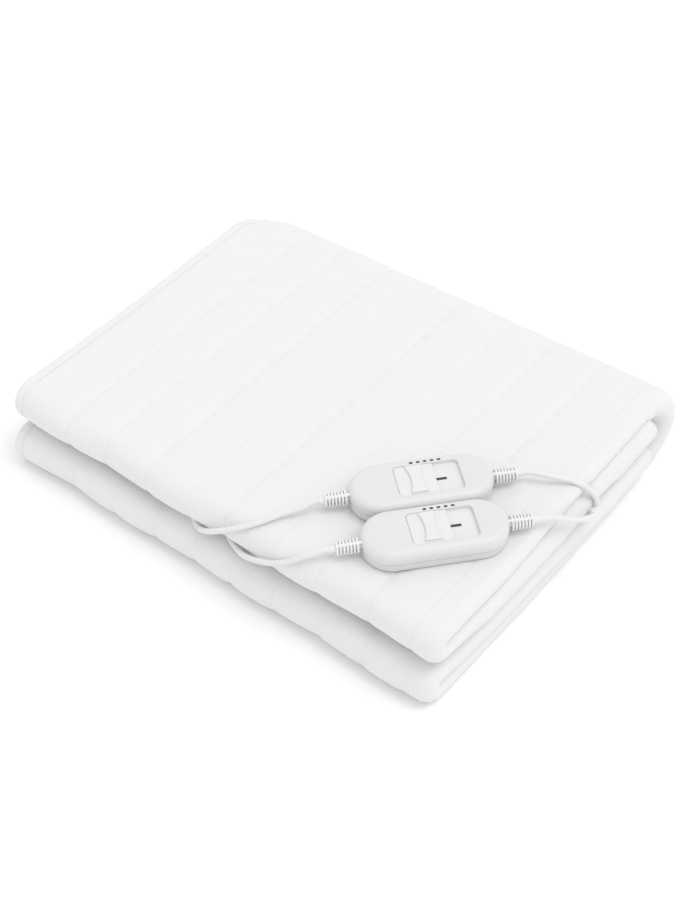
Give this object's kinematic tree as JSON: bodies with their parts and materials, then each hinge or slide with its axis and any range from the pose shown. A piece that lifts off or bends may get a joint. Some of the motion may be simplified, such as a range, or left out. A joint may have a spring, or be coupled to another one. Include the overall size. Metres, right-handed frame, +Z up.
{
  "type": "electric heated blanket",
  "caption": "White quilted electric heated blanket folded into a flat pack, with slide-switch hand controllers on top, their leads tucked into the folds and hanked mains leads with flat plugs.",
  "frame": {"origin": "middle of the pack and its controllers in plan, at the surface that the pack lies on", "axes": "+Z up; -Y toward the side with the two front folds; +Y toward the one big fold; +X toward the rim over which the blanket leads go in"},
  "size_m": [0.514, 0.4031, 0.106],
  "materials": {
    "cloth": "matte quilted polyester, white",
    "top_shell": "satin moulded, white",
    "base_shell": "satin moulded, white",
    "slider": "satin moulded, white",
    "sleeve": "soft satin, white",
    "cord": "smooth soft jacket, white",
    "plug": "moulded, white",
    "pin": "nickel-plated, polished"
  },
  "bodies": {
    "pack": {"blanket": "cloth", "near_base_shell": "base_shell", "near_top_shell": "top_shell", "near_left_relief": "sleeve", "near_right_relief": "sleeve", "far_base_shell": "base_shell", "far_top_shell": "top_shell", "far_left_relief": "sleeve", "far_right_relief": "sleeve", "near_mains_lead": "cord", "far_mains_lead": "cord", "near_blanket_lead": "cord", "far_blanket_lead": "cord", "near_hank": "cord", "far_hank": "cord", "near_tail": "cord", "far_tail": "cord", "near_plug": "plug", "far_plug": "plug", "near_pin_1": "pin", "near_pin_2": "pin", "far_pin_1": "pin", "far_pin_2": "pin"},
    "near_switch": {"near_slider": "slider"},
    "far_switch": {"far_slider": "slider"}
  },
  "joints": [
    {"name": "near_switch_slide", "type": "slide", "parent": "pack", "child": "near_switch", "axis": [0.6574, 0.7536, 0], "range_m": [0, 0.0195]},
    {"name": "far_switch_slide", "type": "slide", "parent": "pack", "child": "far_switch", "axis": [0.6574, 0.7536, 0], "range_m": [0, 0.0195]}
  ]
}
